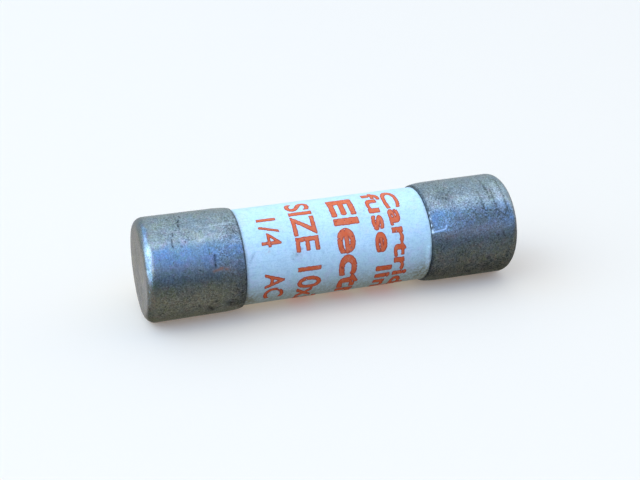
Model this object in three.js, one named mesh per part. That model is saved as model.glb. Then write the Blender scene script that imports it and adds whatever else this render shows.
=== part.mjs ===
// A cylindrical cartridge fuse of the midget size: a white insulating tube between two plated ferrules,
// with the cement, washers, solder, cord core, wire element and sand that lie inside it.
// Millimetres. The fuse lies along X with its centre at the origin, and +Z is up.

import * as THREE from 'three';

// ---- Driving dimensions ----

const FUSE_LENGTH = 38.1;
const FERRULE_DIAMETER = 10.3;
const FERRULE_LENGTH = 9.5;
const FERRULE_WALL = 0.28;
const FERRULE_CORNER = 1.0;
const FERRULE_TAPER = 0.03;
const LIP_LENGTH = 2.0;
const LIP_HEIGHT = 0.12;
const TUBE_DIAMETER = 9.5;
const TUBE_BORE = 6.6;
const CEMENT_START = 1.2;
const CEMENT_LENGTH = 5.8;
const CEMENT_THICKNESS = 0.07;
const WASHER_START = 1.8;
const WASHER_THICKNESS = 0.8;
const SOLDER_DIAMETER = 5.6;
const SOLDER_HEIGHT = 1.2;
const SOLDER_RIM = 0.15;
const SOLDER_NECK = 0.5;
const CORE_DIAMETER = 1.0;
const WIRE_DIAMETER = 0.2;
const WIRE_TURNS = 13;

// ---- Clearances between neighbours ----

const CEMENT_GAP = 0.01;
const TURNED_GAP = 0.02;
const LIP_GAP = 0.04;
const END_GAP = 0.05;
const WINDING_GAP = 0.06;

// ---- How finely the round shapes are cut ----

const TURNED_SEGMENTS = 48;
const CORE_SEGMENTS = 16;
const CURVE_STEPS = 5;
const WIRE_SIDES = 6;
const STEPS_PER_TURN = 12;

// ---- Sizes worked out from the driving dimensions ----

const QUARTER_TURN = Math.PI / 2;
const FERRULE_RADIUS = FERRULE_DIAMETER / 2;
const TUBE_RADIUS = TUBE_DIAMETER / 2;
const BORE_RADIUS = TUBE_BORE / 2;
const LIP_START = FERRULE_LENGTH - LIP_LENGTH;
const LIP_EDGE_RADIUS = TUBE_RADIUS + LIP_HEIGHT;
const LIP_DROP = FERRULE_RADIUS - FERRULE_TAPER - LIP_EDGE_RADIUS;
const CORNER_CENTRE_RADIUS = FERRULE_RADIUS - FERRULE_CORNER;
const INNER_CORNER = FERRULE_CORNER - FERRULE_WALL;
const TUBE_START = FERRULE_CORNER - INNER_CORNER * Math.cos(
  Math.asin((TUBE_RADIUS - CORNER_CENTRE_RADIUS) / INNER_CORNER),
) + END_GAP;
const CORE_RADIUS = CORE_DIAMETER / 2;
const WIRE_RADIUS = WIRE_DIAMETER / 2;
const WINDING_RADIUS = CORE_RADIUS + TURNED_GAP + WIRE_RADIUS;
const WINDING_BORE_RADIUS = WINDING_RADIUS + WIRE_RADIUS + WINDING_GAP;
const SOLDER_START = FERRULE_WALL + TURNED_GAP;
const SOLDER_END = SOLDER_START + SOLDER_HEIGHT;
const SOLDER_POCKET = SOLDER_START + SOLDER_HEIGHT / 3;
const CORE_START = SOLDER_POCKET + END_GAP;
const WIRE_START = CORE_START + WIRE_RADIUS;
const SAND_START = WASHER_START + WASHER_THICKNESS + TURNED_GAP;

// ---- Ways of making a solid. Every outline is a list of [distance, radius] points, where the distance
// ---- is measured along the axis from the outer face of the fuse's own end.

// The length of a piece that lies in the middle and begins at the same distance from both ends.
function between(start) {
  return FUSE_LENGTH - 2 * start;
}

// A quarter of an ellipse or part of one. At angle a the point is at
// [centre + reach * cos a, centreRadius + height * sin a].
function arc(centre, centreRadius, reach, height, from, to) {
  return Array.from({ length: CURVE_STEPS + 1 }, (_, i) => {
    const a = from + ((to - from) * i) / CURVE_STEPS;
    return [centre + reach * Math.cos(a), centreRadius + height * Math.sin(a)];
  });
}

// A piece turned about the X axis. Its outline starts and ends on the axis, or is closed here by going
// back to its first point.
function turned(outline, segments = TURNED_SEGMENTS) {
  const points = outline.map(([distance, radius]) => new THREE.Vector2(radius, distance));
  const startsOnAxis = points[0].x === 0;
  if (THREE.ShapeUtils.area(points) < 0) points.reverse();
  if (!startsOnAxis) points.push(points[0].clone());
  return new THREE.LatheGeometry(points, segments).rotateZ(-QUARTER_TURN);
}

// A plain ring of a given length between two radii.
function ring(start, length, inner, outer) {
  const end = start + length;
  return turned([[start, inner], [start, outer], [end, outer], [end, inner]]);
}

// ---- The pieces ----

// The drawn cup: a flat end, a rounded corner, a slightly tapered side, and a mouth that is rolled in
// on to the tube.
function ferruleGeometry() {
  const corner = [FERRULE_CORNER, CORNER_CENTRE_RADIUS];
  const outside = [
    ...arc(...corner, FERRULE_CORNER, FERRULE_CORNER, Math.PI, QUARTER_TURN),
    ...arc(LIP_START, LIP_EDGE_RADIUS, LIP_LENGTH, LIP_DROP, QUARTER_TURN, 0),
  ];
  const inside = [
    ...arc(LIP_START, LIP_EDGE_RADIUS - FERRULE_WALL, LIP_LENGTH, LIP_DROP, 0, QUARTER_TURN),
    ...arc(...corner, INNER_CORNER, INNER_CORNER, QUARTER_TURN, Math.PI),
  ];
  return turned([[0, 0], ...outside, ...inside, [FERRULE_WALL, 0]]);
}

// The insulating tube. Its square ends stop where they meet the rounded inside corner of the ferrules.
// Under each ferrule's mouth the rolled lip has bitten a shallow groove into it, which follows the lip
// and ends in a square step just past the lip's edge.
function tubeGeometry() {
  const grooveBottom = LIP_EDGE_RADIUS - FERRULE_WALL - LIP_GAP;
  const grooveOpens = Math.asin((TUBE_RADIUS - grooveBottom) / LIP_DROP);
  const grooveEnd = FERRULE_LENGTH + LIP_GAP;
  const left = [
    [TUBE_START, BORE_RADIUS],
    [TUBE_START, TUBE_RADIUS],
    ...arc(LIP_START, grooveBottom, LIP_LENGTH + LIP_GAP, LIP_DROP, grooveOpens, 0),
    [grooveEnd, TUBE_RADIUS],
  ];
  const right = left.map(([distance, radius]) => [FUSE_LENGTH - distance, radius]).reverse();
  return turned([...left, ...right]);
}

// The cement fills most of the thin space between a ferrule's side and the tube.
function cementGeometry() {
  const inner = TUBE_RADIUS + CEMENT_GAP;
  return ring(CEMENT_START, CEMENT_LENGTH, inner, inner + CEMENT_THICKNESS);
}

// A fibre washer in the tube's bore, with a hole that the wound element passes through.
function washerGeometry() {
  return ring(WASHER_START, WASHER_THICKNESS, WINDING_BORE_RADIUS, BORE_RADIUS - TURNED_GAP);
}

// A pool of solder on the inside of a ferrule's end, drawn up in a curve round the end of the element,
// which sits in a pocket in the middle.
function solderGeometry() {
  const rimRadius = SOLDER_DIAMETER / 2;
  const neckRadius = WINDING_BORE_RADIUS + SOLDER_NECK;
  const rise = SOLDER_END - SOLDER_START - SOLDER_RIM;
  return turned([
    [SOLDER_START, 0],
    [SOLDER_START, rimRadius],
    ...arc(SOLDER_END, rimRadius, -rise, neckRadius - rimRadius, 0, QUARTER_TURN),
    [SOLDER_END, WINDING_BORE_RADIUS],
    [SOLDER_POCKET, WINDING_BORE_RADIUS],
    [SOLDER_POCKET, 0],
  ]);
}

// The glass-fibre cord that carries the wire, from one pool of solder to the other.
function coreGeometry() {
  const end = FUSE_LENGTH - CORE_START;
  const outline = [[CORE_START, 0], [CORE_START, CORE_RADIUS], [end, CORE_RADIUS], [end, 0]];
  return turned(outline, CORE_SEGMENTS);
}

// The line that the wire follows: a helix round the core.
class Winding extends THREE.Curve {
  getPoint(t, target = new THREE.Vector3()) {
    const angle = 2 * Math.PI * WIRE_TURNS * t;
    const distance = WIRE_START + between(WIRE_START) * t;
    return target.set(distance, WINDING_RADIUS * Math.cos(angle), WINDING_RADIUS * Math.sin(angle));
  }
}

// The fine silver wire.
function wireGeometry() {
  const section = new THREE.Shape();
  for (let i = 0; i < WIRE_SIDES; i += 1) {
    const angle = (2 * Math.PI * i) / WIRE_SIDES;
    const corner = [WIRE_RADIUS * Math.cos(angle), WIRE_RADIUS * Math.sin(angle)];
    if (i === 0) section.moveTo(...corner);
    else section.lineTo(...corner);
  }
  section.closePath();
  const steps = WIRE_TURNS * STEPS_PER_TURN;
  return new THREE.ExtrudeGeometry(section, { steps, extrudePath: new Winding() });
}

// The packed quartz sand, as one body with a bore that the wound element runs through.
function sandGeometry() {
  return ring(SAND_START, between(SAND_START), WINDING_BORE_RADIUS, BORE_RADIUS - TURNED_GAP);
}

// ---- Materials ----

const MATERIALS = {
  ferrule: new THREE.MeshStandardMaterial({ color: 0x8a9298, roughness: 0.42, metalness: 1 }),
  tube: new THREE.MeshStandardMaterial({ color: 0xdfe8e6, roughness: 0.6, metalness: 0 }),
  cement: new THREE.MeshStandardMaterial({ color: 0xb9a888, roughness: 0.85, metalness: 0 }),
  washer: new THREE.MeshStandardMaterial({ color: 0xa8793f, roughness: 0.8, metalness: 0 }),
  solder: new THREE.MeshStandardMaterial({ color: 0xb4b7b5, roughness: 0.35, metalness: 1 }),
  core: new THREE.MeshStandardMaterial({ color: 0xe9e4d2, roughness: 0.9, metalness: 0 }),
  wire: new THREE.MeshStandardMaterial({ color: 0xd5d6d8, roughness: 0.25, metalness: 1 }),
  sand: new THREE.MeshStandardMaterial({ color: 0xd9cdb4, roughness: 0.95, metalness: 0 }),
};

// ---- The assembly ----

function piece(name, geometry, look) {
  const mesh = new THREE.Mesh(geometry, MATERIALS[look].clone());
  mesh.name = name;
  return mesh;
}

// What is the same at both ends. The right end is the left one turned round.
function endPieces(side) {
  const end = new THREE.Group();
  end.add(
    piece(`${side}_ferrule`, ferruleGeometry(), 'ferrule'),
    piece(`${side}_cement_ring`, cementGeometry(), 'cement'),
    piece(`${side}_end_washer`, washerGeometry(), 'washer'),
    piece(`${side}_solder_joint`, solderGeometry(), 'solder'),
  );
  return end;
}

const leftEnd = endPieces('left');
leftEnd.position.x = -FUSE_LENGTH / 2;

const rightEnd = endPieces('right');
rightEnd.position.x = FUSE_LENGTH / 2;
rightEnd.rotation.z = Math.PI;

const middle = new THREE.Group();
middle.position.x = -FUSE_LENGTH / 2;
middle.add(
  piece('body_tube', tubeGeometry(), 'tube'),
  piece('element_core', coreGeometry(), 'core'),
  piece('fuse_element', wireGeometry(), 'wire'),
  piece('sand_filler', sandGeometry(), 'sand'),
);

const fuse = new THREE.Group();
fuse.name = 'cartridge_fuse';
fuse.add(leftEnd, middle, rightEnd);

export default fuse;
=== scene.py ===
"""The looks of a small cartridge fuse: two worn plated ferrules, a white tube between them, and orange
print stamped round the tube. The cement, washers, solder, cord, wire and sand inside stay as they are in
the frame and get materials of their own.

Places on the fuse are given unrolled: x in millimetres along the axis from its middle, and an angle in
degrees round it, 0 on top and 90 towards the viewer (-Y)."""

import math
from typing import NamedTuple

import bmesh
import bpy
import numpy as np
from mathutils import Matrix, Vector


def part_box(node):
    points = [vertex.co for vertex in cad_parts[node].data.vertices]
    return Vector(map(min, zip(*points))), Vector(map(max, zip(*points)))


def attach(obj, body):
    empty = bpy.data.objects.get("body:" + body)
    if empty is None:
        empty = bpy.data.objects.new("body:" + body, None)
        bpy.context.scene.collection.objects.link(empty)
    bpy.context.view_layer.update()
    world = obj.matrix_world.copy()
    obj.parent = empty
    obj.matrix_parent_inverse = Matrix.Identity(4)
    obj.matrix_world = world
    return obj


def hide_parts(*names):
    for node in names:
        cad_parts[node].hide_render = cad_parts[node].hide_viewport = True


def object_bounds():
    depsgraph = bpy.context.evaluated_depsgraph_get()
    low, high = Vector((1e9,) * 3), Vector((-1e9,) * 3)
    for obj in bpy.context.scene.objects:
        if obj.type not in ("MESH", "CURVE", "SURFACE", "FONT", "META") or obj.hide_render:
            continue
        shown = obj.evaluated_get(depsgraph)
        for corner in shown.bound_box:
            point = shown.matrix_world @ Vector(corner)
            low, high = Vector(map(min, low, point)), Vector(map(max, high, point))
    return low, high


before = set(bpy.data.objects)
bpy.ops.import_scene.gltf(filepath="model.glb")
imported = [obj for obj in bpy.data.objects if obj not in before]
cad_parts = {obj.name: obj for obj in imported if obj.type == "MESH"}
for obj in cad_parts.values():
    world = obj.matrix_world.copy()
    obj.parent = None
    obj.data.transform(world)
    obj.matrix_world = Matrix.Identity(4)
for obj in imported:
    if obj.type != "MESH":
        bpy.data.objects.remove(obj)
CAD_LOW, CAD_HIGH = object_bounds()

MM = 0.001
DEGREE = math.pi / 180

# ---- Sizes, in millimetres. The first five come from the frame. ----

HALF_LENGTH = CAD_HIGH.x / MM
FERRULE_RADIUS = CAD_HIGH.z / MM
FERRULE_LENGTH = (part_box("left_ferrule")[1].x - CAD_LOW.x) / MM
TUBE_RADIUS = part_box("body_tube")[1].z / MM
TUBE_START = (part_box("body_tube")[0].x - CAD_LOW.x) / MM
TUBE_BORE_RADIUS = 3.3
GROOVE_START = TUBE_START + 6
FERRULE_WALL = 0.28
FERRULE_CORNER = 1.0
FERRULE_TAPER = 0.03
FERRULE_UNEVENNESS = 0.012
LIP_LENGTH = 2.0
LIP_EDGE_RADIUS = TUBE_RADIUS + 0.12
LIP_EDGE_BEVEL = 0.07
LIP_GAP = 0.04

# ---- Angles, in degrees, where the curves of the ferrule's mouth stop short of a full quarter ----

LIP_END = 10
INNER_LIP_START = 15
BEVEL_START = 60

# ---- How finely the shells are cut: sides round, steps along in mm, and steps in each curve ----

FERRULE_SEGMENTS = 480
TUBE_SEGMENTS = 400
FERRULE_STEP = 0.08
END_FACE_STEP = 0.16
TUBE_STEP = 0.11
CORNER_STEPS = 20
LIP_STEPS = 25
BEVEL_STEPS = 4
INNER_BEVEL_STEPS = 3
INNER_LIP_STEPS = 8
INNER_CORNER_STEPS = 6
SHARP_ANGLE = 35


# ---- Outlines: lists of (distance from the fuse's own end, radius) ----

def arc(centre, centre_radius, reach, height, start, end, steps):
    """Part of an ellipse, between two angles in degrees."""
    angles = np.linspace(start, end, steps + 1) * DEGREE
    return [(centre + reach * math.cos(a), centre_radius + height * math.sin(a)) for a in angles]


def straight(start, end, step):
    """Evenly spaced points from start to end, both left out."""
    count = max(1, round(math.dist(start, end) / step))
    return [tuple(np.add(start, np.subtract(end, start) * i / count)) for i in range(1, count)]


def ferrule_outline():
    """The drawn cup, from the middle of its end round the mouth and back to the middle inside. Also how
    many of the points are on the outside, where wear shows."""
    corner = (FERRULE_CORNER, FERRULE_RADIUS - FERRULE_CORNER)
    inner_corner = FERRULE_CORNER - FERRULE_WALL
    lip_start = FERRULE_LENGTH - LIP_LENGTH
    lip_drop = FERRULE_RADIUS - FERRULE_TAPER - LIP_EDGE_RADIUS
    lip_inside = LIP_EDGE_RADIUS - FERRULE_WALL
    bevel = (LIP_EDGE_BEVEL, LIP_EDGE_BEVEL)
    bevel_centre = FERRULE_LENGTH - LIP_EDGE_BEVEL
    rounding = arc(*corner, FERRULE_CORNER, FERRULE_CORNER, 180, 90, CORNER_STEPS)
    lip = arc(lip_start, LIP_EDGE_RADIUS, LIP_LENGTH, lip_drop, 90, LIP_END, LIP_STEPS)
    outside = [
        (0, 0),
        *straight((0, 0), rounding[0], END_FACE_STEP),
        *rounding,
        *straight(rounding[-1], lip[0], FERRULE_STEP),
        *lip,
        *arc(bevel_centre, LIP_EDGE_RADIUS - LIP_EDGE_BEVEL, *bevel, BEVEL_START, 0, BEVEL_STEPS),
    ]
    inside = [
        *arc(bevel_centre, lip_inside + LIP_EDGE_BEVEL, *bevel, 0, -90, INNER_BEVEL_STEPS),
        *arc(lip_start, lip_inside, LIP_LENGTH, lip_drop, INNER_LIP_START, 90, INNER_LIP_STEPS),
        *arc(*corner, inner_corner, inner_corner, 90, 180, INNER_CORNER_STEPS),
        (FERRULE_WALL, 0),
    ]
    return outside + inside, len(outside)


def tube_outline():
    """The insulating tube. It is bitten in a little under each ferrule's mouth."""
    groove_end = FERRULE_LENGTH + LIP_GAP
    groove_radius = LIP_EDGE_RADIUS - FERRULE_WALL - LIP_GAP
    left = [
        (TUBE_START, TUBE_BORE_RADIUS),
        (TUBE_START, TUBE_RADIUS),
        (GROOVE_START, TUBE_RADIUS),
        (groove_end, groove_radius),
        (groove_end, TUBE_RADIUS - LIP_GAP),
        (groove_end + LIP_GAP, TUBE_RADIUS),
    ]
    right = [(2 * HALF_LENGTH - distance, radius) for distance, radius in reversed(left)]
    return left + straight(left[-1], right[0], TUBE_STEP) + right


# ---- Wear: marks and dents by formula, for every point of a shell ----

# The first two marks hold painted shade as well as dirt, pits and scores, and the last holds painted
# highlights as well as worn, scratched and scuffed places.
MARKS = ("dark", "grime_and_shade", "rust", "bright")

# Where a point's angle starts again, on the side away from the viewer, so that marks may cross the top.
SEAM_ANGLE = 300

# The x, left or right of the middle, of the ferrules' mouths, of the painted shade beside them on the
# ferrule and on the tube, and of the ferrules' rounded corners.
MOUTH_EDGE_X = 9.58
MOUTH_SHADE_X = 9.62
TUBE_SHADE_X = 9.45
CORNER_X = 18.0

# The grime that the ferrules have nearly all over, and the angle of the crease in the right one's mouth.
LEAST_GRIME = 0.12
CREASE_ANGLE = 66

# The waves in a ferrule's slow unevenness: how many go round it, radians per mm along it, and a shift.
SWELL_WAVES = ((3, 0.9, 0.4), (5, -1.7, 2.1), (2, 2.6, 4.0), (7, 0.5, 1.3))


class Skin:
    """The places of a shell's points, and the marks that can be made on them. A mark is a number from 0
    to 1 for each point. It is placed by (x, angle), and its sizes are in mm."""

    def __init__(self, x, angle):
        self.x = x
        self.angle = angle

    def dab(self, centre, size, tilt=0):
        """A soft oval of a given size (along the axis, round it), turned by tilt degrees."""
        along = self.x - centre[0]
        across = (self.angle - centre[1]) * DEGREE * FERRULE_RADIUS
        cosine, sine = math.cos(tilt * DEGREE), math.sin(tilt * DEGREE)
        u = along * cosine + across * sine
        v = across * cosine - along * sine
        return np.exp(-((u / size[0]) ** 2) - (v / size[1]) ** 2)

    def stroke(self, start, end, width):
        """A soft line of a given width between two places."""
        scale = DEGREE * FERRULE_RADIUS
        px, py = self.x - start[0], (self.angle - start[1]) * scale
        dx, dy = end[0] - start[0], (end[1] - start[1]) * scale
        along = np.clip((px * dx + py * dy) / (dx * dx + dy * dy), 0, 1)
        return np.exp(-((px - along * dx) ** 2 + (py - along * dy) ** 2) / width**2)

    def ring(self, x, width):
        """A soft line all the way round at one x."""
        return self.stroke((x, SEAM_ANGLE - 360), (x, SEAM_ANGLE), width)

    def dashes(self, places, width):
        """A broken line: a stroke from each place to the next, two by two."""
        return [self.stroke(start, end, width) for start, end in zip(places[::2], places[1::2])]


def left_wear(skin):
    """The left ferrule's marks, in the order of MARKS, and how deep it is dented, in mm."""
    pits = [(-14.85, -2), (-14.80, 2), (-15.05, 8), (-15.20, 12), (-15.22, 15), (-15.26, 19),
            (-15.98, 27), (-16.02, 31), (-16.20, 35), (-16.22, 39), (-16.25, 41), (-16.20, 44)]
    score = [(-12.48, 58), (-12.50, 61), (-12.50, 63), (-12.52, 66), (-12.53, 67.5), (-12.50, 70)]
    dark = [
        *skin.dashes(pits, 0.08),
        *skin.dashes(score, 0.10),
        # A dark line round the mouth: painted shade where the ferrule meets the tube.
        0.6 * skin.ring(-MOUTH_EDGE_X, 0.06),
        # A dark band over the top of the end's rounded corner: painted shade that dims its highlight.
        0.4 * skin.stroke((-18.6, -40), (-18.6, 33), 0.45),
        0.8 * skin.dab((-12.95, 51), (0.06, 0.16)),
        0.7 * skin.dab((-15.45, 44), (0.06, 0.12)),
        0.6 * skin.stroke((-17.3, 24), (-16.9, 27), 0.05),
        0.8 * skin.dab((-14.5, 29), (0.08, 0.08)),
        0.6 * skin.dab((-12.5, 113), (0.16, 0.12)),
        0.9 * skin.dab((-11.1, 119), (0.40, 0.25)),
        0.8 * skin.dab((-10.5, 124), (0.30, 0.20)),
        0.8 * skin.stroke((-13.2, 121), (-12.8, 129), 0.15),
        0.6 * skin.dab((-10.0, 106), (0.12, 0.20)),
    ]
    grime_and_shade = [
        LEAST_GRIME * (abs(skin.x) < CORNER_X) * (1 - skin.stroke((-18, 55), (-13, 55), 1.8)),
        # A faint darker band along the underside: painted shade.
        0.10 * skin.stroke((-18, 115), (-10, 115), 2.0),
        0.9 * skin.dab((-10.9, 121), (0.7, 0.6)),
        0.7 * skin.dab((-12.9, 127), (0.6, 0.5), 20),
        0.6 * skin.dab((-10.2, 100), (0.5, 1.2)),
        0.5 * skin.dab((-10.4, 34), (0.6, 1.1)),
        0.35 * skin.dab((-10.8, 60), (1.3, 1.5)),
        0.4 * skin.dab((-15.2, 8), (0.5, 0.9)),
        # A dark ring beside the mouth, and a wider dark patch below it on the underside: painted shade
        # where the ferrule meets the tube.
        0.8 * skin.ring(-MOUTH_SHADE_X, 0.10),
        0.8 * skin.stroke((-MOUTH_SHADE_X, 100), (-MOUTH_SHADE_X, 180), 0.5),
    ]
    rust = [
        skin.stroke((-12.7, 75), (-12.0, 73), 0.15),
        0.8 * skin.stroke((-12.0, 73), (-11.3, 74.5), 0.15),
        0.3 * skin.dab((-11.2, 77), (1.2, 0.5)),
    ]
    bright = [
        0.5 * skin.dab((-10.4, 44), (0.16, 0.12)),
        0.35 * skin.stroke((-12.8, 24.5), (-10.2, 21.5), 0.08),
        0.3 * skin.stroke((-13.6, 40), (-12.9, 37), 0.10),
        # A light line on the end's rim, low down in front: a painted highlight.
        0.5 * skin.stroke((-18.9, 66), (-18.9, 112), 0.12),
    ]
    dents = [
        0.035 * skin.dab((-10.4, 44), (0.5, 0.45)),
        0.030 * skin.dab((-14.2, 100), (1.6, 1.2)),
        0.025 * skin.dab((-12.0, 240), (1.3, 1.5)),
    ]
    return dark, grime_and_shade, rust, bright, dents


def right_wear(skin):
    """The same for the right ferrule, which is dirtier, has painted shade along its underside, and has a
    creased dent at its mouth.
    """
    mouth = [(9.66, 2), (9.64, 9), (9.69, 12), (9.65, 21), (9.71, 24), (9.67, 33), (9.70, 36), (9.66, 41)]
    dark = [
        0.8 * skin.dab((16.6, 79), (0.14, 0.10)),
        0.8 * skin.stroke((17.15, 76), (17.25, 81), 0.06),
        skin.dab((13.3, 82), (0.09, 0.09)),
        skin.dab((11.3, 17), (0.10, 0.09)),
        skin.dab((12.1, 23), (0.09, 0.09)),
        skin.dab((11.8, 30), (0.10, 0.08)),
        0.8 * skin.dab((12.4, 33), (0.08, 0.10)),
        0.5 * skin.stroke((13.4, 60), (14.5, 62), 0.05),
        # A dark line round the mouth: painted shade where the ferrule meets the tube.
        0.4 * skin.ring(MOUTH_EDGE_X, 0.06),
        # A dark band along the underside: painted shade.
        0.25 * skin.stroke((9.7, 128), (19, 128), 2.2),
        # Broken dark dashes along the mouth: painted shade in the gap at its edge.
        *(0.35 * dash for dash in skin.dashes(mouth, 0.07)),
    ]
    grime_and_shade = [
        LEAST_GRIME * (abs(skin.x) < CORNER_X) * (1 - skin.dab((10.6, 55), (1.5, 1.2))),
        0.18 * skin.stroke((9, 5), (19, 5), 2.2),
        0.06 * skin.stroke((9, 60), (19, 60), 2.2),
        0.20 * skin.stroke((12.5, 56), (19, 60), 1.0),
        # A wide dark band along the underside: painted shade.
        0.80 * skin.stroke((9, 126), (19, 126), 2.9),
        0.8 * skin.stroke((15.4, 24), (15.45, 50), 0.12),
        0.9 * skin.stroke((16.35, 8), (16.4, 36), 0.11),
        0.8 * skin.stroke((16.75, 26), (16.8, 46), 0.10),
        0.6 * skin.stroke((17.9, 10), (17.9, 60), 0.10),
        0.5 * skin.dab((11.8, 26), (0.9, 1.3), 20),
        0.7 * skin.dab((15.4, 54), (3.0, 0.9), -4),
        0.7 * skin.dab((11.2, 79), (0.9, 0.5)),
        0.6 * skin.dab((12.7, 95), (0.7, 0.4)),
        # A dark patch on the underside: painted shade.
        0.5 * skin.dab((14.6, 128), (2.6, 0.9)),
        # A dark ring beside the mouth: painted shade where the ferrule meets the tube.
        0.8 * skin.ring(MOUTH_SHADE_X, 0.10),
    ]
    rust = [
        0.3 * skin.dab((11.2, 73), (0.9, 0.3), 10),
        0.3 * skin.dab((14.8, 71), (2.8, 0.8)),
    ]
    bright = [
        # Light lines along the crease and light dabs on the mouth's edge: painted highlights.
        skin.stroke((9.6, 66.5), (11.0, 64), 0.06),
        skin.stroke((11.0, 64), (11.15, 60), 0.06),
        skin.dab((9.62, 65), (0.12, 0.20)),
        0.8 * skin.dab((9.60, 58), (0.07, 0.14)),
        0.8 * skin.dab((9.62, 50), (0.07, 0.16)),
        0.7 * skin.dab((9.64, 43), (0.06, 0.12)),
        0.7 * skin.dab((10.6, 61.5), (0.09, 0.07)),
        0.5 * skin.dab((10.25, 62.5), (0.08, 0.05)),
        # A soft light band near the end's rounded corner: a painted highlight.
        0.2 * skin.stroke((17.35, 14), (17.4, 50), 0.30),
        0.12 * skin.dab((14.0, 32), (1.3, 0.5)),
    ]
    dents = [
        0.10 * skin.dab((10.7, 54), (1.1, 0.9)) * (skin.angle < CREASE_ANGLE),
        0.03 * skin.dab((13.2, 120), (1.5, 1.1)),
        0.025 * skin.dab((12.4, 200), (1.6, 1.5)),
    ]
    return dark, grime_and_shade, rust, bright, dents


def tube_wear(skin):
    """The same for the tube: specks, a smudge, painted shade by the mouths and along the underside, and an
    edge that is scuffed and wrinkled up where it meets the right ferrule."""
    dark = [
        0.8 * skin.dab((-3.9, 64), (0.12, 0.10)),
        0.7 * skin.dab((-4.4, 70), (0.16, 0.12)),
        0.6 * skin.dab((-4.9, 75), (0.10, 0.10)),
        0.7 * skin.dab((3.1, 27), (0.08, 0.08)),
        0.6 * skin.dab((2.5, 15), (0.07, 0.07)),
        0.4 * skin.stroke((-9.3, 74), (-8.6, 62), 0.12),
    ]
    grime_and_shade = [
        # Dark patches and a band along the underside, strongest by the right mouth: painted shade.
        0.6 * skin.dab((9.2, 120), (1.4, 1.9)),
        0.5 * skin.dab((-9.1, 135), (0.6, 1.8)),
        0.6 * skin.stroke((-9, 130), (9, 128), 2.0),
        # Dark rings beside each mouth: painted shade where the tube meets the ferrules.
        0.5 * skin.ring(-TUBE_SHADE_X, 0.10),
        0.5 * skin.ring(TUBE_SHADE_X, 0.10),
        0.3 * skin.dab((-4.4, 70), (0.8, 0.5)),
    ]
    rust = [0.5 * skin.dab((-7.3, 62), (0.35, 0.25))]
    bright = [
        0.9 * skin.stroke((9.25, 88), (9.2, 97), 0.06),
        0.8 * skin.stroke((9.3, 101), (9.25, 110), 0.07),
    ]
    dents = [
        -0.09 * skin.stroke((9.22, 84), (9.12, 98), 0.17),
        -0.10 * skin.stroke((9.25, 101), (9.15, 115), 0.18),
    ]
    return dark, grime_and_shade, rust, bright, dents


# ---- Shells ----

def swell(x, angle):
    """A slow unevenness from -1 to 1, which meets itself after a full turn."""
    turn = angle * DEGREE
    waves = [np.sin(count * turn + along * x + shift) for count, along, shift in SWELL_WAVES]
    return sum(waves) / len(waves)


def revolve(outline, segments, side):
    """Turns an outline about the axis, from the fuse's end on the given side (-1 left, 1 right). A point
    of the outline on the axis becomes one point. Gives the points, the outward direction at each, the
    row of the outline that each came from, and the faces."""
    outline = np.array(outline)
    turned = outline[:, 1] > 0
    ahead = np.roll(outline, -1, axis=0) - np.roll(outline, 1, axis=0)
    if not turned[0]:
        ahead[0], ahead[-1] = (0, 1), (0, -1)
    ahead /= np.linalg.norm(ahead, axis=1)[:, None]

    copies = np.where(turned, segments, 1)
    first = np.cumsum(copies) - copies
    rows = np.repeat(np.arange(len(outline)), copies)
    step = np.arange(segments)
    around = np.concatenate([step[:count] for count in copies]) * 2 * math.pi / segments
    distance, radius = outline[rows].T
    d_along, d_out = ahead[rows].T
    points = [side * (HALF_LENGTH - distance), -radius * np.sin(around), radius * np.cos(around)]
    outward = [side * d_out, -d_along * np.sin(around), d_along * np.cos(around)]

    following = (step + 1) % segments
    pairs = list(zip(range(len(outline) - 1), range(1, len(outline))))
    if turned[0]:
        pairs.append((len(outline) - 1, 0))
    faces = []
    for a, b in pairs:
        if turned[a] and turned[b]:
            corners = (first[a] + step, first[a] + following, first[b] + following, first[b] + step)
        elif turned[a]:
            corners = (first[a] + step, first[a] + following, np.full_like(step, first[b]))
        else:
            corners = (np.full_like(step, first[a]), first[b] + following, first[b] + step)
        faces += np.stack(corners, axis=1).tolist()
    return np.stack(points, axis=1), np.stack(outward, axis=1), rows, faces


def shell_mesh(name, outline, worn_rows, segments, side, wear, unevenness):
    """A closed shell. Over the first worn_rows of its outline it is dented and painted as wear says, and
    sinks by up to its unevenness in mm."""
    points, outward, rows, faces = revolve(outline, segments, side)
    x = points[:, 0]
    angle = np.degrees(np.arctan2(-points[:, 1], points[:, 2])) % 360
    *marks, dents = wear(Skin(x, np.where(angle > SEAM_ANGLE, angle - 360, angle)))
    worn = rows < worn_rows
    depth = sum(dents) + unevenness * (1 + swell(x, angle)) / 2
    points -= outward * (depth * worn)[:, None]
    mesh = bpy.data.meshes.new(name)
    mesh.from_pydata((points * MM).tolist(), [], faces)
    for mark, parts in zip(MARKS, marks):
        layer = mesh.attributes.new(mark, "FLOAT", "POINT")
        layer.data.foreach_set("value", np.clip(sum(parts) * worn, 0, 1).astype(np.float32))
    shape = bmesh.new()
    shape.from_mesh(mesh)
    bmesh.ops.recalc_face_normals(shape, faces=shape.faces)
    shape.to_mesh(mesh)
    shape.free()
    mesh.shade_smooth()
    mesh.set_sharp_from_angle(angle=SHARP_ANGLE * DEGREE)
    return mesh


def add_piece(name, mesh, material, slot, *nodes):
    """Puts a piece in the scene, riding on the fuse's one body and standing for any given CAD nodes."""
    mesh.materials.append(material)
    piece = bpy.data.objects.new(name, mesh)
    bpy.context.scene.collection.objects.link(piece)
    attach(piece, "root")
    if nodes:
        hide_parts(*nodes)


# ---- Print ----

class Line(NamedTuple):
    """A line of print: its words, the x of its baseline, the height of its capitals in mm, the angles
    where it starts and ends, and how far its strokes are grown on each side, in mm."""

    words: str
    baseline: float
    height: float
    start: float
    end: float
    grown: float


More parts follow.
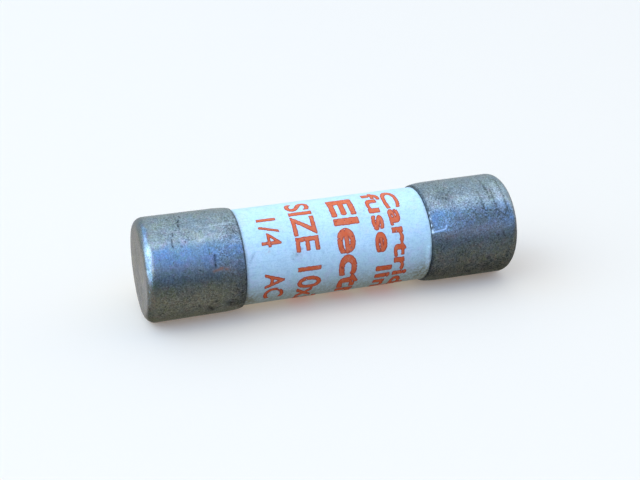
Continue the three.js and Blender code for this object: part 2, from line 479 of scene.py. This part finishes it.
PRINT = (
    Line("1/4", -7.7, 1.85, 20, 57, 0.04),
    Line("AC", -7.7, 1.85, 89, 128, 0.06),
    Line("SIZE 10x38", -4.35, 2.2, -3, 176, 0.08),
    Line("Electric", -0.1, 2.3, 3, 196, 0.15),
    Line("fuse link", 3.7, 1.5, -6, 176, 0.11),
    Line("Cartridge", 5.55, 1.4, -4, 190, 0.11),
)

# The side of a square cell in the grid that the print is cut from, in mm, and the largest share of that
# side that a cut may lie along it. Points of the font are one when they are this close, in ems.
INK_CELL = 0.06
LONGEST_CUT = 0.96
FONT_WELD = 1e-5

# The film, in mm: its height over the tube, how far it sinks in, and the width of its thin edge. At the
# very edge it has only this share of its height.
INK_HEIGHT = 0.022
INK_SINK = 0.02
INK_EDGE_WIDTH = 0.13
INK_EDGE_HEIGHT = 0.5

# Ragged edges: how far they stray, and the size and seed of their noise. Bare spots: the size and seed of
# their noise, the level over which it leaves a spot bare, and how steeply the ink ends there. The noise
# repeats after LATTICE_SIZE of its bumps.
RAGGED_DEPTH = 0.03
RAGGED_SIZE = 0.16
RAGGED_SEED = 5
BARE_SIZE = 0.22
BARE_SEED = 8
BARE_LEVEL = 0.88
BARE_SLOPE = 0.4
LATTICE_SIZE = 64


def outlines_of(words):
    """The outlines of some words in the built-in font, as an array of straight edges in ems, each from
    one point (u, v) to another."""
    curve = bpy.data.curves.new(words, "FONT")
    curve.body = words
    text = bpy.data.objects.new(words, curve)
    bpy.context.scene.collection.objects.link(text)
    graph = bpy.context.evaluated_depsgraph_get()
    shape = bmesh.new()
    shape.from_mesh(bpy.data.meshes.new_from_object(text.evaluated_get(graph)))
    bmesh.ops.remove_doubles(shape, verts=shape.verts, dist=FONT_WELD)
    edges = [[tuple(v.co.xy) for v in e.verts] for e in shape.edges if len(e.link_faces) == 1]
    shape.free()
    bpy.data.objects.remove(text)
    return np.array(edges)


def lattice_noise(u, v, size, seed):
    """Smooth noise from -1 to 1, with bumps of about the given size."""
    lattice = np.random.default_rng(seed).uniform(-1, 1, (LATTICE_SIZE, LATTICE_SIZE))
    column = np.floor(u / size).astype(int)
    row = np.floor(v / size).astype(int)
    a = u / size - column
    b = v / size - row
    a = a * a * (3 - 2 * a)
    b = b * b * (3 - 2 * b)

    def knot(right, up):
        return lattice[(column + right) % LATTICE_SIZE, (row + up) % LATTICE_SIZE]

    below = knot(0, 0) * (1 - a) + knot(1, 0) * a
    above = knot(0, 1) * (1 - a) + knot(1, 1) * a
    return below * (1 - b) + above * b


def ink_depth(edges, u, v):
    """How far each point lies inside the inked shape, in mm, and negative outside it."""
    nearest = np.full(u.shape, np.inf)
    inside = np.zeros(u.shape, bool)
    for (u0, v0), (u1, v1) in edges:
        du, dv = u1 - u0, v1 - v0
        along = np.clip(((u - u0) * du + (v - v0) * dv) / (du * du + dv * dv), 0, 1)
        nearest = np.minimum(nearest, np.hypot(u - u0 - along * du, v - v0 - along * dv))
        if dv:
            inside ^= ((v0 > v) != (v1 > v)) & (u < u0 + du * (v - v0) / dv)
    return np.where(inside, nearest, -nearest)


def line_grid(line, capital):
    """A grid over one line of print: its lowest corner, and how deep in the ink each of its points is. It
    is measured in mm from the line's start and its baseline. Capital is a capital's height in ems."""
    edges = outlines_of(line.words)
    low_em, high_em = edges[..., 0].min(), edges[..., 0].max()
    turn = (line.end - line.start) * DEGREE
    edges[..., 0] = (edges[..., 0] - low_em) * turn * TUBE_RADIUS / (high_em - low_em)
    edges[..., 1] *= line.height / capital
    margin = line.grown + 2 * INK_CELL
    low = edges.min(axis=(0, 1)) - margin
    count = np.ceil((edges.max(axis=(0, 1)) + margin - low) / INK_CELL).astype(int) + 1
    u, v = np.meshgrid(*(low[k] + np.arange(count[k]) * INK_CELL for k in (0, 1)), indexing="ij")
    depth = ink_depth(edges, u, v) + line.grown
    u_on_tube = u + line.start * DEGREE * TUBE_RADIUS
    v_on_tube = v + line.baseline
    depth += RAGGED_DEPTH * lattice_noise(u_on_tube, v_on_tube, RAGGED_SIZE, RAGGED_SEED)
    bareness = lattice_noise(u_on_tube, v_on_tube, BARE_SIZE, BARE_SEED) - BARE_LEVEL
    return low, np.minimum(depth, -BARE_SLOPE * bareness)


def add_inked_cells(shape, low, depth, layer):
    """Adds to a shape the part of a square grid where depth is positive, cut along its zero line. Points
    keep their depth in the given layer."""
    known = {}

    def point(spot, beyond=None):
        """The grid's point at spot, or the zero point between it and the one beyond."""
        key = spot if beyond is None else tuple(sorted([spot, beyond]))
        if key not in known:
            share, step = 0.0, (0, 0)
            if beyond is not None:
                share = depth[spot] / (depth[spot] - depth[beyond])
                share = min(max(share, 0.0), LONGEST_CUT)
                step = (beyond[0] - spot[0], beyond[1] - spot[1])
            u, v = (low[k] + (spot[k] + share * step[k]) * INK_CELL for k in (0, 1))
            known[key] = shape.verts.new((u, v, 0))
            known[key][layer] = depth[spot] if beyond is None else 0.0
        return known[key]

    inked = depth > 0
    busy = inked[:-1, :-1] | inked[1:, :-1] | inked[:-1, 1:] | inked[1:, 1:]
    for i, j in np.argwhere(busy):
        corners = [(i, j), (i + 1, j), (i + 1, j + 1), (i, j + 1)]
        ring = []
        for this, after in zip(corners, corners[1:] + corners[:1]):
            if inked[this]:
                ring.append(point(this))
            if inked[this] != inked[after]:
                ring.append(point(this, after) if inked[this] else point(after, this))
        if len(ring) > 2:
            shape.faces.new(ring)


def add_line(whole, line, capital):
    """Adds one line of print to the whole, as a thin film wrapped on the tube, thinner along its edges."""
    low, depth = line_grid(line, capital)
    shape = bmesh.new()
    layer = shape.verts.layers.float.new("depth")
    add_inked_cells(shape, low, depth, layer)
    raised = bmesh.ops.extrude_face_region(shape, geom=shape.faces[:])["geom"]
    raised = {item for item in raised if isinstance(item, bmesh.types.BMVert)}
    for vert in shape.verts:
        thickness = INK_EDGE_HEIGHT + (1 - INK_EDGE_HEIGHT) * min(1, vert[layer] / INK_EDGE_WIDTH)
        radius = TUBE_RADIUS + (INK_HEIGHT * thickness if vert in raised else -INK_SINK)
        angle = line.start * DEGREE + vert.co.x / TUBE_RADIUS
        x = line.baseline + vert.co.y
        vert.co = (x * MM, -radius * math.sin(angle) * MM, radius * math.cos(angle) * MM)
    bmesh.ops.recalc_face_normals(shape, faces=shape.faces)
    mesh = bpy.data.meshes.new(line.words)
    shape.to_mesh(mesh)
    shape.free()
    whole.from_mesh(mesh)
    bpy.data.meshes.remove(mesh)


def print_mesh(name):
    """All the lines of print, as one mesh."""
    capital = outlines_of("H")[..., 1].max()
    whole = bmesh.new()
    for line in PRINT:
        add_line(whole, line, capital)
    mesh = bpy.data.meshes.new(name)
    whole.to_mesh(mesh)
    whole.free()
    return mesh


# ---- Nodes ----

def feed(tree, socket, value):
    """Links a socket to another socket, or sets it to a plain value. None leaves it as it is."""
    if isinstance(value, bpy.types.NodeSocket):
        tree.links.new(value, socket)
    elif value is not None:
        socket.default_value = value


def add_node(tree, kind, inputs=(), **settings):
    """A node with its settings, and its first inputs linked or set."""
    made = tree.nodes.new(kind)
    for setting, value in settings.items():
        setattr(made, setting, value)
    for socket, value in zip(made.inputs, inputs):
        feed(tree, socket, value)
    return made


class Material:
    """A node material on one Principled shader, with short calls for the nodes that it uses. Distances
    in its textures are in millimetres."""

    def __init__(self, name, **settings):
        self.material = bpy.data.materials.new(name)
        self.material.use_nodes = True
        self.tree = self.material.node_tree
        self.shader = self.tree.nodes["Principled BSDF"]
        for socket, value in settings.items():
            self.shader.inputs[socket.replace("_", " ")].default_value = value

    def place(self):
        """The place on the fuse, in mm."""
        in_metres = self.node("ShaderNodeTexCoord").outputs["Object"]
        scaled = self.node("ShaderNodeVectorMath", (in_metres,), operation="SCALE")
        scaled.inputs["Scale"].default_value = 1 / MM
        return scaled.outputs[0]

    def stretched(self, x, y, z):
        """The place on the fuse with each axis scaled, to draw a texture out."""
        scaled = self.node("ShaderNodeVectorMath", (self.place(), (x, y, z)), operation="MULTIPLY")
        return scaled.outputs[0]

    def node(self, kind, inputs=(), **settings):
        return add_node(self.tree, kind, inputs, **settings)

    def plus(self, a, b):
        return self.node("ShaderNodeMath", (a, b), operation="ADD").outputs[0]

    def minus(self, a, b):
        return self.node("ShaderNodeMath", (a, b), operation="SUBTRACT").outputs[0]

    def times(self, a, b):
        return self.node("ShaderNodeMath", (a, b), operation="MULTIPLY").outputs[0]

    def attribute(self, name):
        return self.node("ShaderNodeAttribute", attribute_name=name).outputs["Fac"]

    def noise(self, per_mm, detail, roughness, place=None):
        made = self.node("ShaderNodeTexNoise", (place or self.place(),))
        made.inputs["Scale"].default_value = per_mm
        made.inputs["Detail"].default_value = detail
        made.inputs["Roughness"].default_value = roughness
        return made.outputs["Fac"]

    def cells(self, per_mm):
        """Round cells, with a Distance from their middles and a Color of their own."""
        made = self.node("ShaderNodeTexVoronoi", (self.place(),), feature="F1")
        made.inputs["Scale"].default_value = per_mm
        return made.outputs

    def between(self, value, low, high, low_to=0.0, high_to=1.0):
        """A value's smooth step from low to high, as a number from low_to to high_to."""
        limits = (value, low, high, low_to, high_to)
        return self.node("ShaderNodeMapRange", limits, interpolation_type="SMOOTHSTEP").outputs[0]

    def mix(self, amount, base, over):
        """One colour over another. Each is a tuple of three numbers or a socket."""
        made = self.node("ShaderNodeMix", data_type="RGBA")
        factor, colours = made.inputs[0], made.inputs[6:8]
        feed(self.tree, factor, amount)
        for socket, value in zip(colours, (base, over)):
            feed(self.tree, socket, (*value, 1) if isinstance(value, tuple) else value)
        return made.outputs[2]

    def stain(self, base, over, pattern, low, high, most=1.0):
        """One colour over another where a pattern rises from low to high, up to a most."""
        return self.mix(self.between(pattern, low, high, 0.0, most), base, over)

    def finish(self, colour, roughness, height, depth, metallic=None):
        """Connects the shader. Height runs from 0 to 1, and depth is what that means in mm."""
        bump = self.node("ShaderNodeBump")
        bump.inputs["Distance"].default_value = depth * MM
        feed(self.tree, bump.inputs["Height"], height)
        feed(self.tree, self.shader.inputs["Base Color"], colour)
        feed(self.tree, self.shader.inputs["Roughness"], roughness)
        feed(self.tree, self.shader.inputs["Normal"], bump.outputs["Normal"])
        feed(self.tree, self.shader.inputs["Metallic"], metallic)
        return self.material


# ---- Materials ----

PLATE_COLOURS = {
    "cool": (0.33, 0.41, 0.49),
    "warm": (0.47, 0.46, 0.37),
    "pink": (0.50, 0.37, 0.43),
    "green": (0.33, 0.43, 0.27),
    "dull": (0.22, 0.23, 0.23),
    "light grain": (0.70, 0.76, 0.77),
    "dark grain": (0.12, 0.13, 0.13),
    "brushing": (0.19, 0.20, 0.20),
    # This dirt colour also paints shade, beside the mouths and along the undersides.
    "grime_and_shade": (0.10, 0.09, 0.055),
    "pit": (0.05, 0.055, 0.05),
    # This colour also paints shade: dark lines at the mouths, a band under the right ferrule and the top
    # of the left end's corner.
    "score": (0.03, 0.03, 0.035),
    "rust": (0.42, 0.18, 0.11),
    # This colour also paints highlights: along the right ferrule's crease and mouth, and near both ends'
    # rims.
    "rubbed_and_glint": (0.92, 0.94, 0.96),
}

COAT_COLOURS = {
    "dull": (0.77, 0.87, 0.85),
    "clear": (0.85, 0.93, 0.90),
    "green": (0.74, 0.87, 0.78),
    "pink": (0.85, 0.79, 0.86),
    "fibre": (0.55, 0.67, 0.73),
    "cloud": (0.56, 0.65, 0.64),
    "grain": (0.52, 0.61, 0.61),
    "fine grain": (0.50, 0.60, 0.60),
    # This dirt colour also paints shade, beside the mouths and along the tube's underside.
    "grime_and_shade": (0.38, 0.34, 0.22),
    "speck": (0.16, 0.20, 0.24),
    "rust": (0.75, 0.50, 0.42),
    "scuff": (0.95, 0.98, 0.98),
}

INK_COLOURS = {
    "deep": (1.0, 0.14, 0.035),
    "pale": (0.99, 0.19, 0.07),
    "worn": (0.98, 0.42, 0.27),
    "edge": (0.54, 0.07, 0.035),
}


def plate_greys(m, blotch):
    """The plate's mottled greys, before any wear."""
    tint = m.noise(0.55, 4, 0.6)
    pink = m.noise(1.2, 3, 0.65)
    green = m.noise(1.0, 4, 0.7, m.stretched(1.2, 0.9, 1.1))
    colour = m.stain(PLATE_COLOURS["cool"], PLATE_COLOURS["warm"], tint, 0.38, 0.62)
    colour = m.stain(colour, PLATE_COLOURS["pink"], pink, 0.46, 0.64, 0.7)
    colour = m.stain(colour, PLATE_COLOURS["green"], green, 0.48, 0.66, 0.75)
    return m.stain(colour, PLATE_COLOURS["dull"], blotch, 0.35, 0.65, 0.55)


def plate_grain(m, colour, grain, grime_and_shade):
    """Light and dark grain over a colour. It is faint where the plate is clean, and its light part is
    faint again under heavy dirt and painted shade."""
    strength = m.between(grime_and_shade, 0.0, 0.22, 0.45, 1.0)
    light = m.times(m.between(grain, 0.40, 0.62, 0.0, 0.85), strength)
    light = m.times(light, m.between(grime_and_shade, 0.2, 0.8, 1.0, 0.5))
    dark = m.times(m.between(m.noise(7.5, 2, 0.7), 0.44, 0.60, 0.0, 0.65), strength)
    colour = m.mix(light, colour, PLATE_COLOURS["light grain"])
    return m.mix(dark, colour, PLATE_COLOURS["dark grain"])


def plate_pits(m, grime_and_shade):
    """Fine dark pits, which crowd together in places and under dirt and painted shade."""
    crowd = m.between(m.noise(0.8, 3, 0.6), 0.40, 0.66, 0.0, 0.08)
    crowd = m.plus(crowd, m.times(grime_and_shade, 0.125))
    return m.between(m.plus(m.noise(6.0, 3, 0.65), crowd), 0.64, 0.74)


def plated_metal():
    """Dull nickel plate: mottled in warm, cool, pink and green greys, grainy, speckled with fine dark
    pits, faintly brushed round, and marked with the wear of its shell, with painted shade and painted
    highlights among it."""
    m = Material("dull_nickel_plate", Metallic=1.0)
    blotch = m.noise(1.3, 5, 0.65)
    grain = m.noise(6.5, 3, 0.75)
    brushing = m.noise(1.0, 3, 0.6, m.stretched(7, 0.4, 0.4))
    broken = m.between(m.noise(5.0, 2, 0.6), 0.36, 0.52)
    grime_and_shade = m.attribute("grime_and_shade")
    film = m.times(grime_and_shade, m.between(m.noise(2.6, 4, 0.7), 0.35, 0.62, 0.2, 1.0))
    pits = plate_pits(m, grime_and_shade)
    score = m.times(m.attribute("dark"), m.between(broken, 0, 1, 0.6, 1.0))
    rust = m.times(m.attribute("rust"), m.between(broken, 0, 1, 0.4, 0.9))

    colour = plate_grain(m, plate_greys(m, blotch), grain, grime_and_shade)
    colour = m.stain(colour, PLATE_COLOURS["brushing"], brushing, 0.45, 0.75, 0.35)
    # A film of dirt, which also paints shade at the mouths and along the undersides.
    colour = m.mix(m.times(film, 0.65), colour, PLATE_COLOURS["grime_and_shade"])
    colour = m.mix(m.times(pits, 0.8), colour, PLATE_COLOURS["pit"])
    # Scores and dark marks, which also paint shade at the mouths, under the right ferrule and on the left
    # end's corner.
    colour = m.mix(score, colour, PLATE_COLOURS["score"])
    colour = m.mix(rust, colour, PLATE_COLOURS["rust"])
    # Worn bright places, and painted highlights on the crease, the mouth's edge and near the ends' rims.
    colour = m.mix(m.attribute("bright"), colour, PLATE_COLOURS["rubbed_and_glint"])

    roughness = m.between(blotch, 0.3, 0.7, 0.20, 0.31)
    roughness = m.plus(roughness, m.times(m.plus(pits, film), 0.2))
    height = m.plus(m.times(grain, 0.6), m.times(brushing, 0.5))
    height = m.minus(height, m.times(pits, 0.5))
    cover = m.plus(m.times(rust, 0.6), m.times(film, 0.5))
    return m.finish(colour, roughness, height, 0.013, m.minus(1.0, cover))


def white_laminate():
    """The tube's white coat: faint fibres along it, dull mottling, its specks and dirt, and painted shade.
    """
    m = Material("white_laminate", Specular_IOR_Level=0.45)
    mottle = m.noise(0.9, 4, 0.65)
    fibres = m.noise(1.0, 4, 0.6, m.stretched(1.2, 7, 7))
    grain = m.noise(3.0, 3, 0.65)
    ragged = m.between(m.noise(3.5, 3, 0.6), 0.35, 0.6)
    film = m.times(m.attribute("grime_and_shade"), m.between(ragged, 0, 1, 0.35, 1.0))

    colour = m.stain(COAT_COLOURS["dull"], COAT_COLOURS["clear"], mottle, 0.3, 0.7)
    colour = m.stain(colour, COAT_COLOURS["green"], m.noise(0.6, 4, 0.6), 0.42, 0.60, 0.6)
    colour = m.stain(colour, COAT_COLOURS["pink"], m.noise(0.8, 4, 0.6), 0.48, 0.66, 0.5)
    colour = m.stain(colour, COAT_COLOURS["fibre"], fibres, 0.50, 0.75, 0.6)
    colour = m.stain(colour, COAT_COLOURS["cloud"], m.noise(1.7, 4, 0.7), 0.50, 0.72, 0.6)
    colour = m.stain(colour, COAT_COLOURS["grain"], grain, 0.50, 0.72, 0.4)
    colour = m.stain(colour, COAT_COLOURS["fine grain"], m.noise(7.0, 2, 0.6), 0.48, 0.64, 0.3)
    # A film of dirt, which also paints shade beside the mouths and along the underside.
    colour = m.mix(film, colour, COAT_COLOURS["grime_and_shade"])
    colour = m.mix(m.times(m.attribute("dark"), ragged), colour, COAT_COLOURS["speck"])
    colour = m.mix(m.times(m.attribute("rust"), ragged), colour, COAT_COLOURS["rust"])
    colour = m.mix(m.attribute("bright"), colour, COAT_COLOURS["scuff"])

    height = m.plus(m.times(fibres, 0.6), m.times(grain, 0.4))
    return m.finish(colour, m.between(mottle, 0.3, 0.7, 0.42, 0.55), height, 0.022)


def orange_ink():
    """Stamped ink: darker where it gathered along the edges, thin in patches."""
    m = Material("orange_ink", Specular_IOR_Level=0.2)
    patches = m.noise(1.6, 4, 0.6)
    grain = m.noise(6.0, 2, 0.6)
    edge = m.between(m.attribute("depth"), 0.0, INK_EDGE_WIDTH, 1.0, 0.0)
    colour = m.stain(INK_COLOURS["deep"], INK_COLOURS["pale"], patches, 0.35, 0.65)
    colour = m.stain(colour, INK_COLOURS["worn"], grain, 0.58, 0.75, 0.6)
    colour = m.mix(edge, colour, INK_COLOURS["edge"])
    return m.finish(colour, m.between(patches, 0.3, 0.7, 0.5, 0.65), grain, 0.006)


def cast_white():
    """White cement, chalky, with small air holes that are darkened inside in painted shade."""
    hole_shade, dusty, clean = (0.45, 0.43, 0.40), (0.72, 0.70, 0.66), (0.84, 0.83, 0.80)
    m = Material("white_cement")
    chalk = m.noise(2.0, 5, 0.65)
    holes = m.between(m.cells(2.5)["Distance"], 0.18, 0.054)
    # The air holes get a darker colour: painted shade.
    colour = m.mix(holes, m.mix(chalk, dusty, clean), hole_shade)
    return m.finish(colour, m.between(chalk, 0.3, 0.7, 0.8, 0.95), m.minus(chalk, holes), 0.03)


def pressed_fibre():
    """Vulcanised fibre: hard red board with short fibres in it."""
    dark, light = (0.22, 0.045, 0.03), (0.38, 0.10, 0.06)
    m = Material("red_fibre", Specular_IOR_Level=0.35)
    fibres = m.noise(1.0, 4, 0.7, m.stretched(9, 2.5, 2.5))
    roughness = m.between(fibres, 0.3, 0.7, 0.45, 0.65)
    return m.finish(m.mix(fibres, dark, light), roughness, fibres, 0.02)


def soft_solder():
    """Tin solder, set in shallow ripples and a little frosted."""
    dark, light = (0.55, 0.55, 0.57), (0.74, 0.74, 0.75)
    m = Material("soft_solder", Metallic=1.0)
    ripples = m.noise(1.4, 3, 0.5)
    frost = m.noise(9.0, 2, 0.6)
    roughness = m.between(ripples, 0.3, 0.7, 0.22, 0.42)
    return m.finish(m.mix(frost, dark, light), roughness, ripples, 0.06)


def glass_cord():
    """Glass-fibre cord: fine strands laid at a slant."""
    dark, light = (0.70, 0.68, 0.60), (0.88, 0.87, 0.82)
    m = Material("glass_cord", Specular_IOR_Level=0.5)
    strands = m.node("ShaderNodeTexWave", (m.place(),), bands_direction="DIAGONAL")
    strands.inputs["Scale"].default_value = 1.6
    strands.inputs["Distortion"].default_value = 2.0
    strands.inputs["Detail"].default_value = 2.0
    lay = strands.outputs["Fac"]
    return m.finish(m.mix(lay, dark, light), m.between(lay, 0.0, 1.0, 0.6, 0.4), lay, 0.03)


def drawn_silver():
    """Drawn silver wire, with fine marks from the die."""
    dark, light = (0.80, 0.79, 0.76), (0.93, 0.92, 0.90)
    m = Material("drawn_silver", Metallic=1.0)
    marks = m.noise(12.0, 2, 0.5)
    return m.finish(m.mix(marks, dark, light), m.between(marks, 0.3, 0.7, 0.18, 0.32), marks, 0.004)


def packed_sand():
    """Quartz sand: pale grains of a few tenths of a millimetre, each its own shade."""
    dark, light = (0.52, 0.46, 0.36), (0.86, 0.82, 0.74)
    m = Material("quartz_sand", Specular_IOR_Level=0.6)
    grains = m.cells(4.0)
    shade = m.node("ShaderNodeSeparateColor", (grains["Color"],)).outputs[0]
    roughness = m.between(shade, 0.0, 1.0, 0.75, 0.35)
    return m.finish(m.mix(shade, dark, light), roughness, m.minus(1.0, grains["Distance"]), 0.12)


# ---- The studio, in metres. The camera's distance, aim, lens and sensor are in millimetres. ----

# The light round the fuse: its colour at each angle in degrees from straight overhead, positive towards
# the viewer and negative behind. It is pale blue overhead, strong blue in front, dark at the viewer's
# level, grey behind, and dull and warm below.
SKY = (
    (-180, (0.14, 0.13, 0.10)),
    (-136, (0.07, 0.07, 0.05)),
    (-118, (0.29, 0.28, 0.27)),
    (-90, (0.29, 0.33, 0.36)),
    (-50, (0.38, 0.50, 0.59)),
    (0, (0.51, 0.65, 0.82)),
    (14, (0.62, 0.79, 1.0)),
    (26, (0.25, 0.50, 0.97)),
    (44, (0.22, 0.45, 1.0)),
    (70, (0.20, 0.28, 0.45)),
    (96, (0.05, 0.08, 0.12)),
    (118, (0.12, 0.125, 0.11)),
    (150, (0.17, 0.16, 0.12)),
    (180, (0.14, 0.13, 0.10)),
)
SKY_STRENGTH = 1.7
BACKDROP = (0.93, 0.94, 0.95)

# Each softbox: its name, azimuth, elevation, width, height, power in watts and colour.
SOFTBOXES = (
    ("sky_softbox", -80, 24, 1.3, 1.4, 10.4, (0.33, 0.60, 1.0)),
    ("key_softbox", -53, 38, 0.95, 1.0, 1.8, (1.0, 0.97, 0.5)),
    ("back_softbox", -128, 46, 0.8, 0.55, 1.9, (0.05, 0.34, 1.0)),
)
SOFTBOX_DISTANCE = 1.0

FLOOR_RADIUS = 1.5
FLOOR_SIDES = 96
FLOOR_COLOUR = (0.90, 0.69, 0.51)
FLOOR_GLOW = (0.17, 0.14, 0.12)
FLOOR_ROUGHNESS = 0.9

CAMERA_AZIMUTH = -18.1
CAMERA_ELEVATION = 24.8
CAMERA_DISTANCE = 118.95
CAMERA_AIM = (-0.638, 0.512)
CAMERA_LENS = 66.4
CAMERA_SENSOR = 36
CAMERA_NEAREST = 0.01
CAMERA_FARTHEST = 10


def direction(azimuth, elevation):
    a, e = azimuth * DEGREE, elevation * DEGREE
    return Vector((math.sin(a) * math.cos(e), -math.cos(a) * math.cos(e), math.sin(e)))


def add_facing(name, data, azimuth, elevation):
    """Adds a camera or light that looks the way it would from an azimuth and elevation."""
    made = bpy.data.objects.new(name, data)
    made.rotation_mode = "QUATERNION"
    made.rotation_quaternion = (-direction(azimuth, elevation)).to_track_quat("-Z", "Y")
    bpy.context.scene.collection.objects.link(made)
    return made


def add_camera():
    """The camera looks at a point a little beside the fuse's middle, CAMERA_AIM to the right and up."""
    data = bpy.data.cameras.new("camera")
    data.lens = CAMERA_LENS
    data.sensor_width = CAMERA_SENSOR
    data.clip_start = CAMERA_NEAREST
    data.clip_end = CAMERA_FARTHEST
    camera = add_facing("camera", data, CAMERA_AZIMUTH, CAMERA_ELEVATION)
    camera.location = camera.rotation_quaternion @ Vector((*CAMERA_AIM, CAMERA_DISTANCE)) * MM
    bpy.context.scene.camera = camera


def add_softbox(name, azimuth, elevation, width, height, power, colour):
    """A rectangular area light aimed at the fuse."""
    data = bpy.data.lights.new(name, "AREA")
    data.shape = "RECTANGLE"
    data.size = width
    data.size_y = height
    data.energy = power
    data.color = colour
    light = add_facing(name, data, azimuth, elevation)
    light.location = direction(azimuth, elevation) * SOFTBOX_DISTANCE


def add_world():
    """Light by direction for the fuse, and a plain pale backdrop for the camera."""
    world = bpy.data.worlds.new("studio")
    bpy.context.scene.world = world
    world.use_nodes = True
    tree = world.node_tree
    tree.nodes.clear()
    towards = add_node(tree, "ShaderNodeTexCoord").outputs["Generated"]
    axes = add_node(tree, "ShaderNodeSeparateXYZ", (towards,)).outputs
    forward = add_node(tree, "ShaderNodeMath", (axes["Y"], -1), operation="MULTIPLY").outputs[0]
    angle = add_node(tree, "ShaderNodeMath", (forward, axes["Z"]), operation="ARCTAN2").outputs[0]
    to_share = (angle, 0.5 / math.pi, 0.5)
    share = add_node(tree, "ShaderNodeMath", to_share, operation="MULTIPLY_ADD").outputs[0]
    ramp = add_node(tree, "ShaderNodeValToRGB", (share,))
    stops = ramp.color_ramp.elements
    while len(stops) < len(SKY):
        stops.new(0.5)
    for stop, (degrees, colour) in zip(stops, SKY):
        stop.position = 0.5 + degrees / 360
        stop.color = (*colour, 1)
    lighting = add_node(tree, "ShaderNodeBackground", (ramp.outputs[0], SKY_STRENGTH)).outputs[0]
    backdrop = add_node(tree, "ShaderNodeBackground", ((*BACKDROP, 1),)).outputs[0]
    seen = add_node(tree, "ShaderNodeLightPath").outputs["Is Camera Ray"]
    choice = add_node(tree, "ShaderNodeMixShader", (seen, lighting, backdrop)).outputs[0]
    add_node(tree, "ShaderNodeOutputWorld", (choice,))


def add_floor():
    """A wide pale disc under the fuse, with a faint glow that keeps the shadow on it pale. Only the camera
    sees it, so that it throws no light up on the fuse's dark underside."""
    shape = bmesh.new()
    bmesh.ops.create_circle(shape, cap_ends=True, segments=FLOOR_SIDES, radius=FLOOR_RADIUS)
    mesh = bpy.data.meshes.new("floor")
    shape.to_mesh(mesh)
    shape.free()
    looks = Material("floor", Base_Color=(*FLOOR_COLOUR, 1), Roughness=FLOOR_ROUGHNESS,
                     Specular_IOR_Level=0.0, Emission_Color=(*FLOOR_GLOW, 1), Emission_Strength=1.0)
    mesh.materials.append(looks.material)
    floor = bpy.data.objects.new("floor", mesh)
    floor.location.z = CAD_LOW.z
    floor.visible_diffuse = False
    floor.visible_glossy = False
    floor.visible_shadow = False
    bpy.context.scene.collection.objects.link(floor)


# ---- The scene ----

add_camera()
add_world()
for softbox in SOFTBOXES:
    add_softbox(*softbox)
add_floor()
bpy.context.scene.view_settings.view_transform = "Standard"

nickel = plated_metal()
cup, worn_rows = ferrule_outline()
for side, node, wear in ((-1, "left_ferrule", left_wear), (1, "right_ferrule", right_wear)):
    name = node + "_shell"
    shell = shell_mesh(name, cup, worn_rows, FERRULE_SEGMENTS, side, wear, FERRULE_UNEVENNESS)
    add_piece(name, shell, nickel, "ferrule_plating", node)

tube = tube_outline()
shell = shell_mesh("printed_tube", tube, len(tube), TUBE_SEGMENTS, -1, tube_wear, 0.0)
add_piece("printed_tube", shell, white_laminate(), "tube_laminate", "body_tube")
add_piece("print_on_tube", print_mesh("print_on_tube"), orange_ink(), "print_ink")

INSIDE = (
    (cast_white(), ("left_cement_ring", "right_cement_ring")),
    (pressed_fibre(), ("left_end_washer", "right_end_washer")),
    (soft_solder(), ("left_solder_joint", "right_solder_joint")),
    (glass_cord(), ("element_core",)),
    (drawn_silver(), ("fuse_element",)),
    (packed_sand(), ("sand_filler",)),
)
for material, nodes in INSIDE:
    for node in nodes:
        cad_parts[node].data.materials.clear()
        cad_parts[node].data.materials.append(material)
